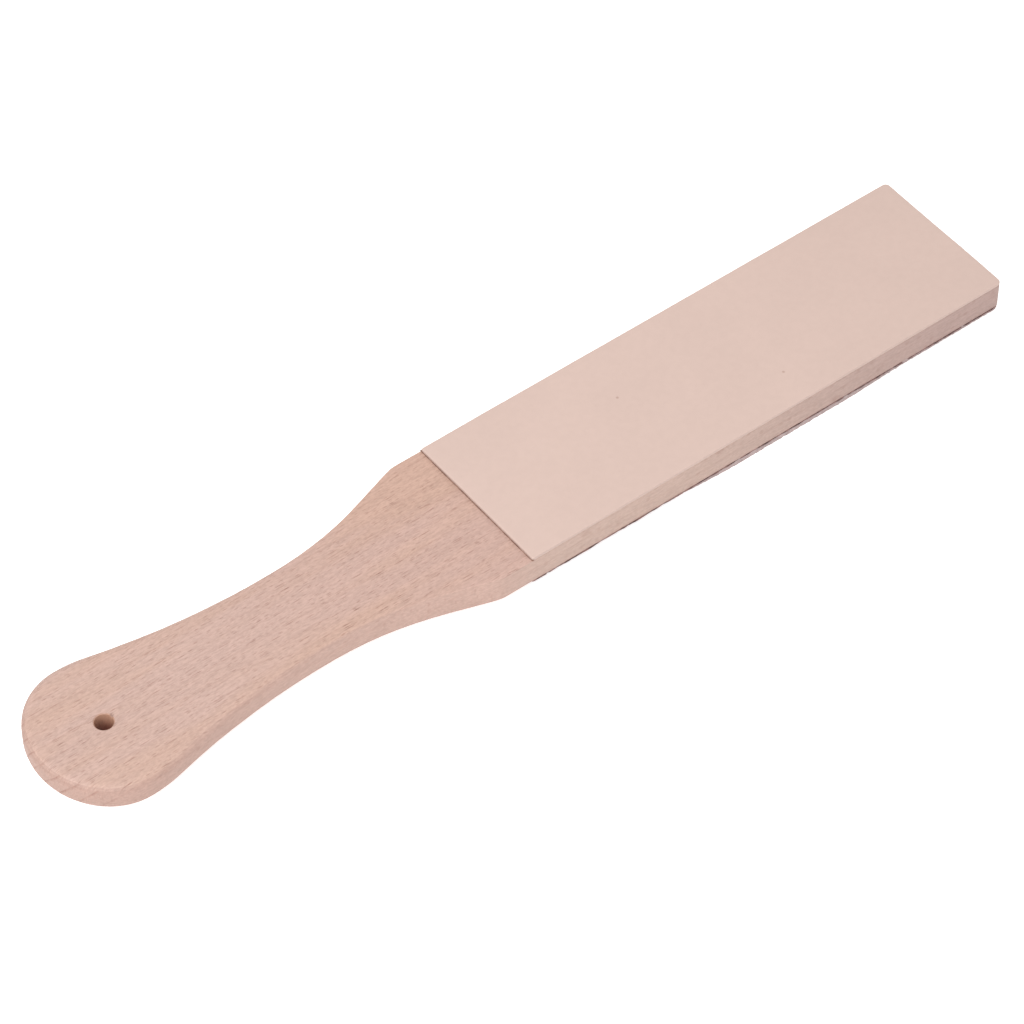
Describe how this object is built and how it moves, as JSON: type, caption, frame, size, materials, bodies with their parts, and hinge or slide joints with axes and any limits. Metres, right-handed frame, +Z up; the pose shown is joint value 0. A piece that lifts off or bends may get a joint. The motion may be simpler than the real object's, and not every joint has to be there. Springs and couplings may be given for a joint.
{
  "type": "leather strop",
  "caption": "Flat wooden paddle strop with a shaped handle and a hanging hole, faced with smooth leather above and rough suede below, for honing small blades.",
  "frame": {"origin": "centre of the bounding box at its lowest face, on the surface that the strop lies on", "axes": "+X along the strop from the handle's butt to the blade's tip, +Y across the blade, +Z up out of the smooth leather"},
  "size_m": [0.3106, 0.05, 0.0116],
  "materials": {
    "beech": "sanded beech, bare or lightly oiled, satin",
    "smooth_leather": "natural vegetable-tanned leather, grain side out, matte",
    "suede": "natural leather, rough flesh side out, fibrous and matte",
    "contact_cement": "dried amber-brown contact cement, dull"
  },
  "bodies": {
    "root": {"wooden_paddle": "beech", "smooth_leather": "smooth_leather", "smooth_side_glue": "contact_cement", "suede_leather": "suede", "suede_side_glue": "contact_cement"}
  },
  "joints": []
}
